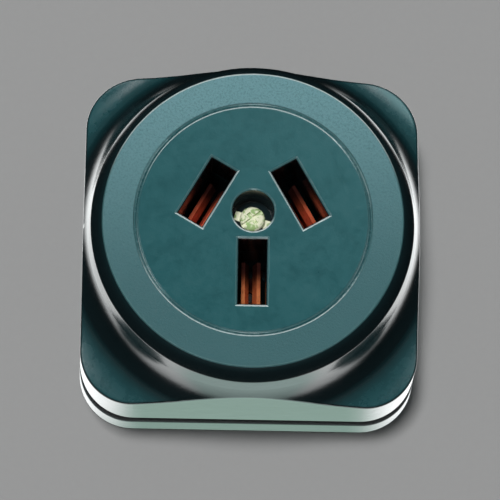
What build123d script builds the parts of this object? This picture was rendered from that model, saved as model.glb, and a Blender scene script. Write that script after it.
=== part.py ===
from build123d import *
import math
import os

# Surface-mounted power receptacle for a three-blade plug. Millimetres.
# Z = 0 is the rear face on the wall, +Z points out of the wall, +Y is up on the wall.

# Outside of the two mouldings
total_height = 47.5        # rear face to front face
base_half = 37.2           # half width of the base across its flat sides
base_wall = 7.9            # height of the base's outer wall
base_draft = 0.3           # the base is this much narrower at its top edge
base_edge_r = 0.6          # rounded edges of the base
corner_r = 12.0            # corner radius of the base and of the skirt
gap_height = 3.4           # dark gap between base and skirt
skirt_inset = 0.5          # the skirt's rear edge lies this far inside the side of the base
skirt_draft = 0.7          # the cover is this much narrower at its front edge
skirt_edge_r = 0.5         # rounded rear edge of the skirt
lip_r = 0.8                # rounded front edge of the skirt
pad_drop = 21.5            # the sweep would level off this far behind the face

# Boss and face
boss_inset = 1.6           # foot of the boss's wall to the skirt's rear edge
boss_draft_deg = 11.8      # the wall of the boss leans in this much
sweep_upper_r = 22.0       # hollow sweep below that wall, in section
sweep_lower_r = 11.0       # its tighter lower part, down to the corners
sweep_turn_deg = 37.0      # lean of the sweep where the tighter part takes over
shoulder_w = 2.75          # width of the rounded shoulder, seen from the front
shoulder_drop = 4.3        # the shoulder meets the wall this far behind the face
shoulder_r = 14.0          # its radius in section
shoulder_edge_r = 1.1      # rounded edge between the shoulder and the wall
face_edge_r = 0.35         # rounded edge of the face
ring_w = 6.8               # edge of the face to the middle of the ring groove
groove_w = 1.0
groove_depth = 0.42
slot_edge = 0.55           # broken edge round each slot

# Wall thicknesses of the cover
face_wall = 4.0
boss_wall = 3.9            # at the foot of the boss
skirt_wall = 3.0
block_margin = 2.75        # the cover is thick this far past the ends of the slots
cover_block_depth = 12.0   # face to the rear of that thick middle

# Blade slots
slot_circle_r = 11.3       # slot centres lie on this circle
slot_w = 5.9               # clear width of a slot
slot_l = 13.9              # clear length of a slot
names = ["bottom", "right", "left"]
bottom_angle_deg = 270.0   # way from the middle to the bottom slot
slot_step_deg = 120.0      # from one slot to the next

# Screw well, screw, washer and insert
well_y = 1.8               # the screw lies a little above the middle
well_r = 4.45
well_drop = 10.1           # face to the seat in the well
well_edge = 0.35
screw_hole_r = 1.8
screw_r = 1.5
screw_head_r = 2.7
screw_head_h = 2.0
screw_length = 14.2        # under the head
washer_t = 0.8
washer_r = 2.6
ear_length = 7.8           # over both ears
ear_w = 2.0
ear_turn_deg = -17.0
insert_r = 3.0
insert_length = 12.0
insert_drop = 1.5          # the insert is sunk this far in the post
insert_bevel = 0.3

# Base inside
floor_t = 6.0
neck_gap = 0.4             # clearance between the neck of the base and the skirt
neck_height = 6.4          # the neck stands this far above the outer wall
neck_wall = 2.0
post_r = 6.9
chamber_w = 7.0            # pocket for one contact
chamber_l = 13.8
chamber_wall = 2.0
chamber_floor = 16.0       # height of the seat of the contacts and terminals
shelf_bite = 0.4           # the bottom shelf runs this far into the neck
shelf_w = 11.0
cable_inset = 8.1          # inside of the neck to the middle of the cable entry
cable_r = 7.5
mount_inset = 6.1          # inside of the neck to the wall screws, on a diagonal
mount_hole_r = 2.25
mount_head_r = 4.5
mount_head_depth = 2.0

# Contacts and their metalware
strip_t = 0.8              # contact strip
contact_l = 9.5
contact_top_drop = 13.0    # face to the tips of the leaves
web_half = 1.9             # inner half width of the contact at its foot
pinch_half = 0.35          # inner half width where the leaves grip
flare_half = 1.25          # inner half width at the flared tips
flare_h = 3.4
upright_share = 0.61       # share of a leaf below its grip that stands upright
bend_r = 0.9
spring_t = 0.5
spring_l = 5.0
spring_gap = 0.1           # clearance between the clip and the leaves
spring_top_gap = 0.9       # the clip ends this far below the pinch
plate_t = 1.5
plate_w = 6.4
plate_gap = 0.2            # clearance of the plate in its doorway
pad_gap = 0.25             # clearance from the end of the plate to the neck
pad_clear = 0.65           # clearance from that square end to the bottom chamber
contact_screw_r = 1.5
contact_head_r = 2.8
contact_head_h = 2.2
contact_screw_seat = 9.0   # height of the seat for the rear screw
contact_screw_proud = 1.0
recess_r = 3.8
washer_inset = 0.25        # the wire washer lies this far inside the end of the plate
head_inset = 0.7           # the wire screw's head lies this far inside its washer
head_to_shank = 1.9        # head to shank diameter of the wire screws
terminal_head_h = 2.6
terminal_screw_length = 10.0
wire_washer_t = 1.0
washer_corner_r = 0.8
thread_gap = 0.1           # radial clearance in threaded and clearance holes
slot_in_head = 0.8         # width of a screwdriver slot
cross_in_head = 0.9
cross_share = 1.1          # length of the crossing slot, in head radii
slot_in_head_depth = 0.9
slot_turn_deg = 38.0       # the way the screwdriver slots ended up
head_round_share = 0.45    # rounding of a pan head, in head heights
tip_bevel_share = 0.3      # bevel of a screw's tip, in shank radii
over = 1.0                 # cutters reach this far past what they cut

# Sizes worked out from the ones above
pad_z = total_height - pad_drop
skirt_z = base_wall + gap_height
inner_top_z = total_height - face_wall
block_z = total_height - cover_block_depth
well_z = total_height - well_drop
head_seat_z = well_z + washer_t
tips_z = total_height - contact_top_drop
spring_foot_z = chamber_floor + plate_t
contact_foot_z = spring_foot_z + spring_t
skirt_half = base_half - skirt_inset
boss_draft = math.radians(boss_draft_deg)
boss_r = skirt_half - boss_inset
sweep_turn = math.radians(sweep_turn_deg)
sweep_turn_z = pad_z + sweep_lower_r * (1 - math.sin(sweep_turn))
boss_foot_z = sweep_turn_z + sweep_upper_r * (math.sin(sweep_turn) - math.sin(boss_draft))
shoulder_z = total_height - shoulder_drop
shoulder_outer_r = boss_r - (shoulder_z - boss_foot_z) * math.tan(boss_draft)
face_r = shoulder_outer_r - shoulder_w
groove_r = face_r - ring_w
groove_section_r = (groove_w ** 2 / 4 + groove_depth ** 2) / (2 * groove_depth)
inner_boss_r = boss_r - boss_wall
front_half = skirt_half - skirt_draft
inner_half = front_half - skirt_wall
neck_half = inner_half - neck_gap
hollow_half = neck_half - neck_wall
neck_corner_r = corner_r - skirt_wall - neck_gap
cover_block_r = slot_circle_r + slot_l / 2 + block_margin
chamber_end = slot_circle_r + chamber_l / 2 + chamber_wall
shelf_end = hollow_half + shelf_bite
pad_l = hollow_half - pad_gap - chamber_end - pad_clear
terminal_r = hollow_half - pad_gap - pad_l / 2
wire_washer_w = pad_l - 2 * washer_inset
terminal_head_r = wire_washer_w / 2 - head_inset
terminal_screw_r = terminal_head_r / head_to_shank
cable_y = hollow_half - cable_inset
mount_x = hollow_half - mount_inset


def square_prism(half, radius, z0, height, draft=0.0):
    """A rounded square standing on Z, narrower by draft at its upper end."""
    lower = Plane.XY.offset(z0) * RectangleRounded(2 * half, 2 * half, radius)
    if draft == 0.0:
        return extrude(lower, height)
    top = half - draft
    upper = Plane.XY.offset(z0 + height) * RectangleRounded(2 * top, 2 * top, radius - draft)
    return loft([lower, upper])


def rod(radius, z0, height, x=0.0, y=0.0):
    """A round bar or bore that stands on Z."""
    return Pos(x, y, z0) * Cylinder(radius, height, align=(Align.CENTER, Align.CENTER, Align.MIN))


def block(length, width, z0, height):
    """A rectangular block that stands on Z."""
    return Pos(0, 0, z0) * Box(length, width, height, align=(Align.CENTER, Align.CENTER, Align.MIN))


def slot_angle(name):
    """Way from the middle of the receptacle to a slot, in degrees."""
    return bottom_angle_deg + names.index(name) * slot_step_deg


def at_slot(name):
    """Place of a contact: X is the way the blade's flat side faces, Y the blade's width.

    The bottom blade stands along its own radius, the upper two lie across theirs.
    """
    angle = slot_angle(name)
    spot_x = slot_circle_r * math.cos(math.radians(angle))
    spot_y = slot_circle_r * math.sin(math.radians(angle))
    turn = angle - 90 if name == "bottom" else angle
    return Location((spot_x, spot_y, 0), (0, 0, turn))


def along(name):
    """Frame whose X runs from the middle of the receptacle out through a slot."""
    return Rot(0, 0, slot_angle(name))


def edges_at(shape, z, tolerance=0.02):
    """Edges that lie flat at one height."""
    return shape.edges().filter_by_position(Axis.Z, z - tolerance, z + tolerance)


def arc_point(centre, radius, angle):
    """A point of the hollow sweep, by the lean of the sweep there."""
    return (centre[0] - radius * math.cos(angle), centre[1] - radius * math.sin(angle))


def make_boss_form():
    """Solid of revolution: face, rounded shoulder, wall, and the hollow sweep down to the corners."""
    far_r = 2 * base_half
    level = math.pi / 2
    start = (face_r, total_height)
    shoulder_edge = (shoulder_outer_r, shoulder_z)
    foot = (boss_r, boss_foot_z)
    upper_centre = (boss_r + sweep_upper_r * math.cos(boss_draft),
                    boss_foot_z + sweep_upper_r * math.sin(boss_draft))
    turn = arc_point(upper_centre, sweep_upper_r, sweep_turn)
    lower_centre = (turn[0] + sweep_lower_r * math.cos(sweep_turn), pad_z + sweep_lower_r)
    low = arc_point(lower_centre, sweep_lower_r, level)
    shoulder = RadiusArc(start, shoulder_edge, shoulder_r)
    wall = Line(shoulder_edge, foot)
    upper_middle = arc_point(upper_centre, sweep_upper_r, (boss_draft + sweep_turn) / 2)
    lower_middle = arc_point(lower_centre, sweep_lower_r, (sweep_turn + level) / 2)
    sweep = ThreePointArc(foot, upper_middle, turn) + ThreePointArc(turn, lower_middle, low)
    rest = Polyline(low, (far_r, pad_z), (far_r, skirt_z), (0, skirt_z), (0, total_height), start)
    section = make_face(Plane.XZ * (shoulder + wall + sweep + rest))
    return revolve(section, Axis.Z, 360)


def lip_edges(shape, tolerance=0.02):
    """Edges where the sweep round the boss meets the side walls."""
    found = []
    for edge in shape.edges():
        box = edge.bounding_box()
        inside = box.min.Z > pad_z - lip_r and box.max.Z < boss_foot_z - tolerance
        if inside and box.size.Z > tolerance:
            found.append(edge)
    return found


def make_cover():
    """The cover is one moulding, hollow from behind, with a thick middle.

    Its side walls lean in by skirt_draft from their rear edge up to the foot of the boss.
    """
    reach = total_height + over - skirt_z
    whole_draft = skirt_draft * reach / (boss_foot_z - skirt_z)
    skin = square_prism(skirt_half, corner_r, skirt_z, reach, whole_draft)
    cover = skin & make_boss_form()
    cover = fillet(lip_edges(cover), lip_r)
    cover = fillet(edges_at(cover, skirt_z), skirt_edge_r)
    cover = fillet(edges_at(cover, shoulder_z), shoulder_edge_r)
    cover = fillet(edges_at(cover, total_height), face_edge_r)
    inside_z = skirt_z - over
    inside = square_prism(inner_half, corner_r - skirt_wall, inside_z, pad_z - skirt_wall - inside_z)
    inside += rod(inner_boss_r, skirt_z, inner_top_z - skirt_z)
    inside -= rod(cover_block_r, block_z, inner_top_z - block_z)
    cover -= inside
    cover -= Pos(0, 0, total_height - groove_depth + groove_section_r) * Torus(groove_r, groove_section_r)
    for name in names:
        passage = block(slot_w, slot_l, block_z - over, cover_block_depth + 2 * over)
        mouth = Pos(0, 0, total_height - slot_edge) * slot_mouth()
        cover -= at_slot(name) * (passage + mouth)
    cover -= rod(well_r, well_z, well_drop + over, y=well_y)
    cover -= Pos(0, well_y, total_height - well_edge) * Cone(
        well_r, well_r + 2 * well_edge, 2 * well_edge, align=(Align.CENTER, Align.CENTER, Align.MIN))
    cover -= rod(screw_hole_r, block_z - over, cover_block_depth, y=well_y)
    return cover


def slot_mouth():
    """Tapered mouth of a slot, cut past the face."""
    lower = Rectangle(slot_w, slot_l)
    upper = Plane.XY.offset(2 * slot_edge) * Rectangle(slot_w + 4 * slot_edge, slot_l + 4 * slot_edge)
    return loft([lower, upper])


def chamber_block(name, z0, height):
    """Block round one contact pocket."""
    return at_slot(name) * block(chamber_w + 2 * chamber_wall, chamber_l + 2 * chamber_wall, z0, height)


def shelf(name, z0, height):
    """Shelf that carries a terminal plate."""
    length = shelf_end - slot_circle_r
    return along(name) * Pos((shelf_end + slot_circle_r) / 2, 0, 0) * block(length, shelf_w, z0, height)


def make_base():
    """The base is one moulding: plate, neck, three contact chambers, post and terminal shelves."""
    base = square_prism(base_half, corner_r, 0, base_wall, base_draft)
    base = fillet(edges_at(base, 0) + edges_at(base, base_wall), base_edge_r)
    base += square_prism(neck_half, neck_corner_r, base_wall - over, neck_height + over)
    base -= square_prism(hollow_half, neck_corner_r - neck_wall, floor_t, base_wall + neck_height)
    for name in names:
        base += chamber_block(name, floor_t - over, block_z - floor_t + over)
        base += shelf(name, floor_t - over, chamber_floor - floor_t + over)
    base += rod(post_r, floor_t - over, block_z - floor_t + over, y=well_y)
    for name in names:
        base -= at_slot(name) * block(chamber_w, chamber_l, chamber_floor, block_z)
        base -= along(name) * Pos(terminal_r / 2 + slot_circle_r / 2, 0, 0) * block(
            terminal_r - slot_circle_r, plate_w + 2 * plate_gap, chamber_floor, plate_t + plate_gap)
        base -= at_slot(name) * rod(recess_r, -over, contact_screw_seat + over)
        base -= at_slot(name) * rod(contact_screw_r + 2 * thread_gap, 0, chamber_floor + over)
        base -= along(name) * rod(terminal_screw_r + 4 * thread_gap, floor_t, chamber_floor, x=terminal_r)
    insert_z = block_z - insert_drop - insert_length
    base -= rod(insert_r, insert_z, insert_length + insert_drop + over, y=well_y)
    base -= rod(screw_hole_r, floor_t + insert_length / 2, block_z, y=well_y)
    base -= rod(cable_r, -over, floor_t + 2 * over, y=cable_y)
    for side in (-1, 1):
        spot_x = side * mount_x
        base -= rod(mount_hole_r, -over, floor_t + 2 * over, x=spot_x, y=spot_x)
        base -= rod(mount_head_r, floor_t - mount_head_depth, mount_head_depth + over, x=spot_x, y=spot_x)
    return base


def driver_recess(top_z, depth, head_r):
    """Slot across the head with a shorter, crossing slot."""
    across = block(2 * head_r + over, slot_in_head, top_z - depth, depth + over)
    crossing = block(cross_in_head, cross_share * head_r, top_z - depth, depth + over)
    return Rot(0, 0, slot_turn_deg) * (across + crossing)


def pan_screw(shank_r, head_r, head_h, length):
    """Pan head screw, head up, with the underside of its head at Z = 0."""
    head = rod(head_r, 0, head_h)
    head = fillet(edges_at(head, head_h), head_round_share * head_h)
    screw = head - driver_recess(head_h, slot_in_head_depth, head_r)
    shank = rod(shank_r, -length, length + thread_gap)
    shank = chamfer(edges_at(shank, -length), tip_bevel_share * shank_r)
    return screw + shank


def make_cover_screw():
    return Pos(0, well_y, head_seat_z) * pan_screw(screw_r, screw_head_r, screw_head_h, screw_length)


def make_screw_washer():
    """Round washer with two ears that reach out to the wall of the well."""
    washer = rod(washer_r, well_z, washer_t) + block(ear_length, ear_w, well_z, washer_t)
    washer -= rod(screw_r + thread_gap, well_z - over, washer_t + 2 * over)
    return Pos(0, well_y, 0) * Rot(0, 0, ear_turn_deg) * washer


def make_threaded_insert():
    top = block_z - insert_drop
    insert = rod(insert_r, top - insert_length, insert_length)
    insert = chamfer(edges_at(insert, top), insert_bevel)
    insert -= rod(screw_r + thread_gap, top - insert_length - over, insert_length + 2 * over)
    return Pos(0, well_y, 0) * insert


def bent_u(half_points, thickness, length):
    """A strip bent to a U along its middle line in the XZ plane, and length wide along Y."""
    mirrored = [(-x, z) for x, z in reversed(half_points)]
    middle_line = FilletPolyline(*mirrored, *half_points, radius=bend_r)
    sheet = Plane.XZ * trace(middle_line, thickness)
    return extrude(sheet, length / 2, both=True)


def leaf_points(out, foot, top, flare):
    """Middle line of one leaf, from its foot up. It lies out from the inside of the contact."""
    pinch_z = tips_z - flare_h
    knee_z = contact_foot_z + upright_share * (pinch_z - contact_foot_z)
    points = [(web_half + out, foot), (web_half + out, knee_z)]
    if flare:
        points.append((pinch_half + out, pinch_z))
        points.append((flare_half + out, top))
    else:
        lean = (web_half - pinch_half) / (pinch_z - knee_z)
        points.append((pinch_half + out + lean * (pinch_z - top), top))
    return points


def make_contact():
    """Two leaves and their foot, bent from one strip."""
    points = leaf_points(strip_t / 2, contact_foot_z + strip_t / 2, tips_z, True)
    contact = bent_u(points, strip_t, contact_l)
    return contact - rod(contact_screw_r + thread_gap, contact_foot_z - over, strip_t + 2 * over)


def make_spring():
    """Steel clip outside the contact leaves."""
    top = tips_z - flare_h - spring_top_gap
    out = strip_t + spring_gap + spring_t / 2
    spring = bent_u(leaf_points(out, spring_foot_z + spring_t / 2, top, False), spring_t, spring_l)
    return spring - rod(contact_screw_r + thread_gap, spring_foot_z - over, spring_t + 2 * over)


def make_terminal_plate():
    """Bar from under the contact, at X = 0, out to a square end with the wire screw."""
    reach = terminal_r - slot_circle_r
    inner_end = -plate_w / 2
    tongue = Pos((inner_end + reach) / 2, 0, 0) * block(reach - inner_end, plate_w, chamber_floor, plate_t)
    end = Pos(reach, 0, 0) * block(pad_l, pad_l, chamber_floor, plate_t)
    plate = tongue + end
    plate -= rod(contact_screw_r + thread_gap, chamber_floor - over, plate_t + 2 * over)
    plate -= rod(terminal_screw_r + thread_gap, chamber_floor - over, plate_t + 2 * over, x=reach)
    return plate


def make_wire_washer():
    z0 = chamber_floor + plate_t
    washer = block(wire_washer_w, wire_washer_w, z0, wire_washer_t)
    washer = fillet(washer.edges().filter_by(Axis.Z), washer_corner_r)
    return washer - rod(terminal_screw_r + thread_gap, z0 - over, wire_washer_t + 2 * over)


def make_terminal_screw():
    seat = chamber_floor + plate_t + wire_washer_t
    return Pos(0, 0, seat) * pan_screw(terminal_screw_r, terminal_head_r, terminal_head_h,
                                       terminal_screw_length)


def make_contact_screw():
    """Screw from the rear, head down, with its tip between the leaves."""
    tip = contact_foot_z + strip_t + contact_screw_proud
    length = tip - contact_screw_seat
    screw = pan_screw(contact_screw_r, contact_head_r, contact_head_h, length)
    return Pos(0, 0, contact_screw_seat) * Rot(180, 0, 0) * screw


def main():
    os.makedirs("parts", exist_ok=True)
    nodes = {
        "base": make_base(),
        "cover": make_cover(),
        "cover_screw": make_cover_screw(),
        "screw_washer": make_screw_washer(),
        "threaded_insert": make_threaded_insert(),
    }
    for name in names:
        at_terminal = along(name) * Pos(terminal_r, 0, 0)
        nodes["contact_" + name] = at_slot(name) * make_contact()
        nodes["spring_" + name] = at_slot(name) * make_spring()
        nodes["contact_screw_" + name] = at_slot(name) * make_contact_screw()
        nodes["terminal_plate_" + name] = along(name) * Pos(slot_circle_r, 0, 0) * make_terminal_plate()
        nodes["wire_washer_" + name] = at_terminal * make_wire_washer()
        nodes["terminal_screw_" + name] = at_terminal * make_terminal_screw()
    for name, shape in nodes.items():
        export_step(shape, "parts/" + name + ".step")


main()
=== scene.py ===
import math

import bmesh
import bpy
from mathutils import Matrix, Vector


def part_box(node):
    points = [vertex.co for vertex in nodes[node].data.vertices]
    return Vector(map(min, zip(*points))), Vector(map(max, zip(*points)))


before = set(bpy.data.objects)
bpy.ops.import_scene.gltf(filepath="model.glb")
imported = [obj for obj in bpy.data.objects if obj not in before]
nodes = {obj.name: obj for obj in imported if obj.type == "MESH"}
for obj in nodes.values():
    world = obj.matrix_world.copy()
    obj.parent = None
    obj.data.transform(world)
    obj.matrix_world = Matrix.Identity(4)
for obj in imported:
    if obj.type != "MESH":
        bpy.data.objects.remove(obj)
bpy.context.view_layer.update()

# Base moulding.
# A block of dark thermoset, pressed in one shot, that lies on the wall and carries all the metalware.
# Only its outer wall and the neck in the gap show once the cover is on.
MM = 0.001


class Shade:
    """One output of a shader node. Sums, products and powers of these add Math nodes."""

    def __init__(self, tree, socket):
        self.tree = tree
        self.socket = socket

    def math(self, operation, other=None):
        node = self.tree.nodes.new("ShaderNodeMath")
        node.operation = operation
        for slot, value in zip(node.inputs, (self, other)):
            if isinstance(value, Shade):
                self.tree.links.new(value.socket, slot)
            elif value is not None:
                slot.default_value = value
        return Shade(self.tree, node.outputs[0])

    def __add__(self, other):
        return self.math("ADD", other)

    def __sub__(self, other):
        return self.math("SUBTRACT", other)

    def __mul__(self, other):
        return self.math("MULTIPLY", other)

    def __rsub__(self, other):
        return self * -1.0 + other

    def __pow__(self, other):
        return self.math("POWER", other)

    __radd__ = __add__
    __rmul__ = __mul__


class Finish:
    """One procedural material. node() adds any node; its inputs take numbers, colours or Shades."""

    def __init__(self, name):
        self.material = bpy.data.materials.new(name)
        self.material.use_nodes = True
        self.tree = self.material.node_tree
        self.shader = self.tree.nodes["Principled BSDF"]
        self.place = self.node("TexCoord", output="Object")
        self.millimetres = self.node("VectorMath", {"operation": "SCALE"}, {0: self.place, "Scale": 1 / MM})

    def node(self, kind, settings=None, inputs=None, output=0):
        made = self.tree.nodes.new("ShaderNode" + kind)
        for key, value in (settings or {}).items():
            setattr(made, key, value)
        for key, value in (inputs or {}).items():
            self.plug(made.inputs[key], value)
        return Shade(self.tree, made.outputs[output])

    def plug(self, socket, value):
        if isinstance(value, Shade):
            self.tree.links.new(value.socket, socket)
        elif isinstance(value, tuple) and len(value) == 3 and socket.type == "RGBA":
            socket.default_value = (*value, 1.0)
        else:
            socket.default_value = value

    def set(self, **values):
        for name, value in values.items():
            self.plug(self.shader.inputs[name.replace("_", " ")], value)

    def axis(self, letter):
        """A coordinate on the object, in millimetres."""
        return self.node("SeparateXYZ", {}, {0: self.millimetres}, letter)

    def facing(self, letter):
        """How far the surface faces along an axis, from -1 to 1."""
        normal = self.node("NewGeometry", output="Normal")
        return self.node("SeparateXYZ", {}, {0: normal}, letter)

    def step(self, value, low, high):
        """0 up to low, 1 from high on, smooth between. With low above high it falls instead."""
        return self.node("MapRange", {"interpolation_type": "SMOOTHSTEP"},
                         {"Value": value, "From Min": low, "From Max": high})

    def noise(self, size_mm, detail=4.0, roughness=0.55, distortion=0.0):
        return self.node("TexNoise", {}, {"Vector": self.millimetres, "Scale": 1 / size_mm,
                                          "Detail": detail, "Roughness": roughness,
                                          "Distortion": distortion})

    def mix(self, factor, first, second):
        return self.node("Mix", {"data_type": "RGBA"}, {0: factor, 6: first, 7: second}, 2)

    def bump(self, height, depth_mm, edge_mm=0.0):
        """Bump in millimetres. With edge_mm, the sharp edges also catch light as rounded ones do."""
        inputs = {"Height": height, "Strength": 1.0, "Distance": depth_mm * MM}
        if edge_mm:
            inputs["Normal"] = self.node("Bevel", {"samples": 8}, {"Radius": edge_mm * MM})
        self.set(Normal=self.node("Bump", {}, inputs))


MOULDING_IOR = 1.6
MOULDING_GLOSS = 0.13
POLISHED = (0.006, 0.013, 0.015)
MATT = (0.006, 0.076, 0.086)

base_finish = Finish("base_moulding")
flow = base_finish.noise(9.0, detail=3.0, roughness=0.5, distortion=0.6)
specks = base_finish.noise(0.35, detail=2.0)
# Faces looking up into the gap under the cover get painted shade, the darkest colour, and are also made
# rougher.
gap_faces_shaded_and_rough = base_finish.step(base_finish.facing("Z"), 0.36, 0.62)
base_finish.set(
    Base_Color=base_finish.mix((flow * 0.6 + specks * 0.3) * (1.0 - gap_faces_shaded_and_rough), POLISHED, MATT),
    Roughness=flow * 0.10 + specks * 0.05 + gap_faces_shaded_and_rough * 0.55 + MOULDING_GLOSS,
    IOR=MOULDING_IOR)
base_finish.bump(specks * 0.5 + flow * 2.0, depth_mm=0.004)


def dress(name, finish):
    """Gives a CAD node its finish."""
    mesh = nodes[name].data
    mesh.materials.clear()
    mesh.materials.append(finish.material)


dress("base", base_finish)

# Contacts.
# Two leaves bent from one copper alloy strip stand in each chamber of the base and grip a blade.
# They are seen down the slots, redder in the upper two, and painted shade makes them nearly black toward
# their upper ends.
SIDES = ("right", "left", "bottom")
CLEAN_COPPER = {"right": (0.88, 0.17, 0.08), "left": (0.88, 0.15, 0.08), "bottom": (0.95, 0.30, 0.11)}
# The brown serves both random tarnish and painted shade; the near black is painted shade only.
TARNISH_AND_SHADE_BROWN = (0.46, 0.10, 0.04)
PAINTED_SHADE_COPPER = (0.035, 0.010, 0.008)
COPPER_METALLIC = 0.5
DRAWN_MARKS = (6.0, 6.0, 0.35)   # marks to the millimetre along x, y and z


def copper(side):
    """Copper finish of one contact, with random tarnish, and painted shade that darkens it toward its upper
    end.
    """
    finish = Finish("contact_copper_" + side)
    low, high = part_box("contact_" + side)
    drawn = finish.node("TexNoise", {}, {
        "Vector": finish.node("Mapping", {}, {"Vector": finish.millimetres, "Scale": DRAWN_MARKS}),
        "Scale": 1.0, "Detail": 3.0})
    tarnish = finish.step(finish.noise(1.6, detail=4.0, roughness=0.6), 0.40, 0.68)
    # Painted shade: each contact goes brown, then nearly black, toward its upper end, under the slot's upper
    # wall.
    painted_shade_upper_end = finish.step(finish.axis("Y"), low.y / MM, high.y / MM)
    tarnish_and_shade = finish.mix(tarnish * 0.5 + painted_shade_upper_end * 0.7, CLEAN_COPPER[side], TARNISH_AND_SHADE_BROWN)
    finish.set(
        Base_Color=finish.mix(finish.step(painted_shade_upper_end, 0.30, 0.92), tarnish_and_shade, PAINTED_SHADE_COPPER),
        Metallic=COPPER_METALLIC,
        Roughness=tarnish * 0.18 + drawn * 0.12 + 0.30)
    finish.bump(drawn, depth_mm=0.006)
    return finish


for side in SIDES:
    dress("contact_" + side, copper(side))

# Steel clips, one round each contact.
# Blued spring steel strip that presses the two leaves together, held under the foot of the contact.
FINE_BUMP = 0.003
BLUED_STEEL = (0.20, 0.22, 0.27)
RUBBED_STEEL = (0.42, 0.40, 0.38)

clip_finish = Finish("spring_steel")
bluing = clip_finish.noise(2.2, detail=3.0)
clip_finish.set(
    Base_Color=clip_finish.mix(bluing, BLUED_STEEL, RUBBED_STEEL),
    Metallic=1.0,
    Roughness=bluing * 0.2 + 0.25)
clip_finish.bump(clip_finish.noise(0.25, detail=2.0), FINE_BUMP)
for side in SIDES:
    dress("spring_" + side, clip_finish)

# Brass: the bars from the contacts to the wire terminals, and the insert in the post.
# Stamped from rolled strip or turned, left bare, and a little dull.
BRIGHT_BRASS = (0.80, 0.58, 0.25)
DULL_BRASS = (0.56, 0.38, 0.15)

brass_finish = Finish("terminal_brass")
dulling = brass_finish.noise(1.8, detail=4.0, roughness=0.6)
brass_finish.set(
    Base_Color=brass_finish.mix(dulling, BRIGHT_BRASS, DULL_BRASS),
    Metallic=1.0,
    Roughness=dulling * 0.2 + 0.22)
brass_finish.bump(brass_finish.noise(0.2, detail=2.0), FINE_BUMP)
for side in SIDES:
    dress("terminal_plate_" + side, brass_finish)
dress("threaded_insert", brass_finish)

# Zinc plated steel: wire screws, their square washers, and the screws from the rear.
# Bright plate with a faint blue tinge and fine handling marks.
BLUISH_ZINC = (0.62, 0.65, 0.69)
WARM_ZINC = (0.80, 0.79, 0.74)

zinc_finish = Finish("plated_steel")
spangle = zinc_finish.noise(0.9, detail=4.0, roughness=0.6)
zinc_finish.set(
    Base_Color=zinc_finish.mix(spangle, BLUISH_ZINC, WARM_ZINC),
    Metallic=1.0,
    Roughness=spangle * 0.16 + 0.18)
zinc_finish.bump(zinc_finish.noise(0.15, detail=2.0), FINE_BUMP)
for side in SIDES:
    for piece in ("wire_washer_", "terminal_screw_", "contact_screw_"):
        dress(piece + side, zinc_finish)

# Cover.
# One moulding of the same dark thermoset: skirt, hollow sweep, boss, and the face with its ring groove.
# The flanks come polished from the tool. The face and the corners have a fine matt grain, the ring
# outside the groove is coarser and lighter, with a painted sheen that lightens it toward the top, and the
# edges round the face and its openings carry a painted highlight, lightest where they face the top.
FACE_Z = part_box("cover")[1].z / MM
FACE_R = 31.5
GROOVE_R = 24.7
FACE_SKIN = (FACE_Z - 0.16, FACE_Z - 0.06)
EDGE_DEPTH = (FACE_Z - 0.46, FACE_Z - 0.26)
EDGE_ENDS = (FACE_R + 0.20, FACE_R + 0.36)
RING_STARTS = (GROOVE_R + 0.3, GROOVE_R + 0.7)
CORNERS_START = (20.0, 26.0)
CORNERS_LEVEL_OUT = (0.55, 0.95)
RING_SHEEN_RISE = (-22.0, 40.0)
RING_DULL = (0.016, 0.082, 0.092)
RING_PAINTED_SHEEN = (0.100, 0.230, 0.255)
FAINT_EDGE_HIGHLIGHT = (0.06, 0.16, 0.17)
PAINTED_EDGE_HIGHLIGHT = (0.66, 0.76, 0.76)
EDGE_ROUNDING = 0.3
GRAIN_DEPTH = 0.05

cover_finish = Finish("cover_moulding")
x = cover_finish.axis("X")
y = cover_finish.axis("Y")
z = cover_finish.axis("Z")
radius = (x * x + y * y) ** 0.5
upward = cover_finish.facing("Z")
on_face = cover_finish.step(z, *FACE_SKIN)
on_ring = on_face * cover_finish.step(radius, *RING_STARTS)
on_corner = cover_finish.step(upward, *CORNERS_LEVEL_OUT) * (1.0 - on_face)
on_corner = on_corner * cover_finish.step(radius, *CORNERS_START)
# Painted highlight on the edges round the face and its openings.
painted_edge_highlight = cover_finish.step(z, *EDGE_DEPTH) * cover_finish.step(upward, 0.15, 0.45)
painted_edge_highlight = painted_edge_highlight * (1.0 - cover_finish.step(upward, 0.90, 0.985))
painted_edge_highlight = painted_edge_highlight * (1.0 - cover_finish.step(radius, *EDGE_ENDS))
grain = cover_finish.noise(0.5, detail=4.0, roughness=0.75)
cloud = cover_finish.noise(5.0, detail=4.0, roughness=0.55, distortion=0.5)
mottle = cover_finish.noise(1.3, detail=4.0, roughness=0.65)
matt = (on_face + on_corner * 0.7) * (cloud * 0.5 + mottle * 0.35 + 0.55)
ringed = on_ring * (cover_finish.step(grain, 0.30, 0.72) * 0.9 + mottle * 0.5 + 0.25)
# Painted sheen: the ring's colour goes lighter toward the top, as if lit from there.
ring_colour_and_sheen = cover_finish.mix(cover_finish.step(y - x * 0.1, *RING_SHEEN_RISE), RING_DULL, RING_PAINTED_SHEEN)
moulded = cover_finish.mix(ringed, cover_finish.mix(matt, POLISHED, MATT), ring_colour_and_sheen)
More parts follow.
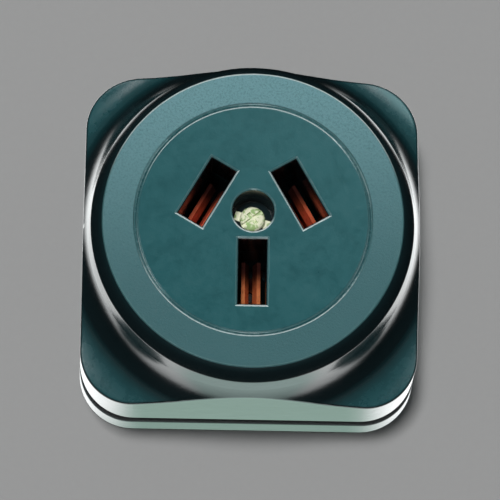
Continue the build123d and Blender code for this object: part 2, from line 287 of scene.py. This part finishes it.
# The painted highlight is much lighter on edges that face the top than on those facing down.
edge_highlight_colour = cover_finish.mix(cover_finish.step(cover_finish.facing("Y"), 0.15, 0.50), FAINT_EDGE_HIGHLIGHT, PAINTED_EDGE_HIGHLIGHT)
cover_finish.set(
    Base_Color=cover_finish.mix(painted_edge_highlight * (mottle * 0.6 + 0.55), moulded, edge_highlight_colour),
    Roughness=matt * (mottle * 0.16 + 0.12) + on_ring * (grain * 0.16 + 0.08) + cloud * 0.06 + 0.12,
    IOR=MOULDING_IOR)
cover_finish.bump(grain * (matt * 0.4 + on_ring * 2.2 + 0.03) + cloud * 0.6, GRAIN_DEPTH, EDGE_ROUNDING)
dress("cover", cover_finish)

# Cover screw and its eared washer.
# Pan head steel screw, zinc plated and yellow passivated, seen bright at the bottom of its well.
# The passivation is pale yellow with green patches.
PALE_YELLOW = (0.98, 1.0, 0.74)
PATCH_GREEN = (0.40, 0.58, 0.24)

screw_finish = Finish("yellow_plated_steel")
patch = screw_finish.step(screw_finish.noise(1.5, detail=3.0, roughness=0.5, distortion=0.8), 0.46, 0.60)
screw_finish.set(
    Base_Color=screw_finish.mix(patch, PALE_YELLOW, PATCH_GREEN),
    Metallic=0.25,
    Roughness=patch * 0.16 + 0.10)
screw_finish.bump(screw_finish.noise(0.15, detail=2.0), FINE_BUMP)
dress("cover_screw", screw_finish)
dress("screw_washer", screw_finish)

# Floor.
# A plain mid grey sheet under the receptacle. It isn't part of the object.
SHEET_HALF = 3.0
FLOOR_DARK = (0.305, 0.305, 0.305)
FLOOR_LIGHT = (0.32, 0.32, 0.32)


def lay_sheet(name, height):
    """A large flat sheet on the table, or just above it."""
    sheet = bmesh.new()
    bmesh.ops.create_grid(sheet, x_segments=1, y_segments=1, size=SHEET_HALF)
    bmesh.ops.translate(sheet, verts=sheet.verts, vec=(0.0, 0.0, height))
    sheet_mesh = bpy.data.meshes.new(name)
    sheet.to_mesh(sheet_mesh)
    sheet.free()
    piece = bpy.data.objects.new(name, sheet_mesh)
    bpy.context.scene.collection.objects.link(piece)
    return piece


floor = lay_sheet("floor", 0.0)
floor_finish = Finish("floor_sheet")
fibres = floor_finish.noise(1.5)
floor_finish.set(
    Base_Color=floor_finish.mix(fibres, FLOOR_DARK, FLOOR_LIGHT),
    Roughness=fibres * 0.1 + 0.85,
    Specular_IOR_Level=0.0)
floor.data.materials.append(floor_finish.material)

# Glowing card on black cloth.
# A sheet that glows by itself lies round the receptacle and shows only in its polished flanks: bright at
# both sides, dimmer in front as painted shade where the camera stands over it, and black cloth behind
# and beyond. Neither is part of the object.
CARD_HEIGHT = 0.3 * MM
CARD_LEVEL = 2.1
CARD_SIDES = (0.97, 1.0, 1.0)
CARD_NEAR_SHADED = (0.32, 0.46, 0.40)
CARD_FRONT_SHADED = (0.60, 0.78, 0.74)
CLOTH = (0.0, 0.0, 0.0)
CARD_RIM = (56.0, 71.0)          # these fades are in millimetres from the middle of the receptacle
REAR_RIM = (50.0, 66.0)
SIDES_START = (22.0, 36.0)
FRONT_STARTS = (-44.0, -58.0)
CLOTH_STARTS = (10.0, 60.0)
CARD_NARROWING = 1.06
FRONT_LENGTHENING = 0.70
REAR_LENGTHENING = 0.15
CARD_SQUARENESS = 3

card = lay_sheet("glowing_card", CARD_HEIGHT)
card_finish = Finish("glowing_card")
card_x = card_finish.axis("X")
card_y = card_finish.axis("Y")
aside = card_x.math("ABSOLUTE")
toward_rear = card_finish.step(card_y, 0.0, 30.0)
along = (card_y * (FRONT_LENGTHENING - toward_rear * REAR_LENGTHENING)).math("ABSOLUTE")
reach = ((aside * CARD_NARROWING) ** CARD_SQUARENESS + along ** CARD_SQUARENESS) ** (1 / CARD_SQUARENESS)
on_card = (1.0 - card_finish.step(reach, *CARD_RIM)) * (1.0 - card_finish.step(card_y, *REAR_RIM))
# The front of the card glows less: painted shade where the camera stands over it.
front_shaded_colour = card_finish.mix(card_finish.step(card_y, *FRONT_STARTS), CARD_NEAR_SHADED, CARD_FRONT_SHADED)
middle = card_finish.mix(card_finish.step(card_y, *CLOTH_STARTS), front_shaded_colour, CLOTH)
card_colour = card_finish.mix(card_finish.step(aside, *SIDES_START), middle, CARD_SIDES)
card_finish.set(
    Base_Color=CLOTH,
    Roughness=1.0,
    Specular_IOR_Level=0.0,
    Emission_Strength=CARD_LEVEL,
    Emission_Color=card_finish.mix(on_card, CLOTH, card_colour))
card.data.materials.append(card_finish.material)
card.visible_camera = False
card.visible_diffuse = False
card.visible_shadow = False

# Light.
# A small lamp high overhead, a little to the upper left, gives the level and the soft shadow, and isn't
# seen in reflections. The soft boxes are seen only there: in the grained ring, the edges and the metal.
WORLD_COLOUR = (0.94, 1.0, 1.0, 1.0)
WORLD_LEVEL = 0.12
WHITE = (1.0, 1.0, 1.0)
TEAL_WHITE = (0.7, 1.0, 1.0)
NEAR_FACE = (0.0, 0.0, 0.04)
UPRIGHT_BOX = (0.16, 0.40)

world = bpy.data.worlds.new("studio")
bpy.context.scene.world = world
world.use_nodes = True
background = world.node_tree.nodes["Background"]
background.inputs["Color"].default_value = WORLD_COLOUR
background.inputs["Strength"].default_value = WORLD_LEVEL


def lamp(name, place, aim, size, radiance, colour=WHITE):
    """An area lamp of a given brightness, turned to a point. The camera doesn't see it."""
    width, height = size
    light = bpy.data.lights.new(name, "AREA")
    light.shape = "RECTANGLE"
    light.size = width
    light.size_y = height
    light.energy = radiance * width * height * math.pi
    light.color = colour
    lamp_object = bpy.data.objects.new(name, light)
    lamp_object.location = place
    direction = Vector(aim) - Vector(place)
    lamp_object.rotation_euler = direction.to_track_quat("-Z", "Y").to_euler()
    lamp_object.visible_camera = False
    bpy.context.scene.collection.objects.link(lamp_object)
    return lamp_object


key = lamp("key", (-0.10, 0.08, 1.30), (0.0, 0.0, 0.0), (0.18, 0.18), 148.0)
key.visible_glossy = False
for soft_box in (
        lamp("soft_box_upper_right", (0.11, 0.24, 0.34), NEAR_FACE, (0.22, 0.20), 4.2, TEAL_WHITE),
        lamp("soft_box_top", (0.0, 0.50, 0.33), NEAR_FACE, (0.60, 0.16), 4.0),
        lamp("soft_box_left", (-0.45, -0.03, 0.42), NEAR_FACE, UPRIGHT_BOX, 6.0),
        lamp("soft_box_right", (0.45, -0.03, 0.42), NEAR_FACE, UPRIGHT_BOX, 3.0),
        lamp("soft_box_front", (0.0, -0.45, 0.35), NEAR_FACE, UPRIGHT_BOX, 6.0)):
    soft_box.visible_diffuse = False

# Camera.
# A long lens, a little below the middle of the face and square to it, found from the photo's edges.
CAMERA_TILT = math.radians(13.04)
CAMERA_TURN = math.radians(1.29)
CAMERA_ROLL = math.radians(-0.85)
CAMERA_DISTANCE = 0.6066
AIM_RIGHT = -0.00067
AIM_UP = -0.00659
SENSOR = 36.0
LENS = 207.96
NEAREST = 0.01

camera_data = bpy.data.cameras.new("camera")
camera_data.sensor_width = SENSOR
camera_data.lens = LENS
camera_data.clip_start = NEAREST
camera = bpy.data.objects.new("camera", camera_data)
bpy.context.scene.collection.objects.link(camera)
turned = (Matrix.Rotation(-CAMERA_TURN, 4, "Y") @ Matrix.Rotation(CAMERA_TILT, 4, "X")
          @ Matrix.Rotation(-CAMERA_ROLL, 4, "Z"))
face_centre = Matrix.Translation((0.0, 0.0, FACE_Z * MM))
camera.matrix_world = face_centre @ turned @ Matrix.Translation((AIM_RIGHT, AIM_UP, CAMERA_DISTANCE))
bpy.context.scene.camera = camera
bpy.context.scene.view_settings.view_transform = "Standard"
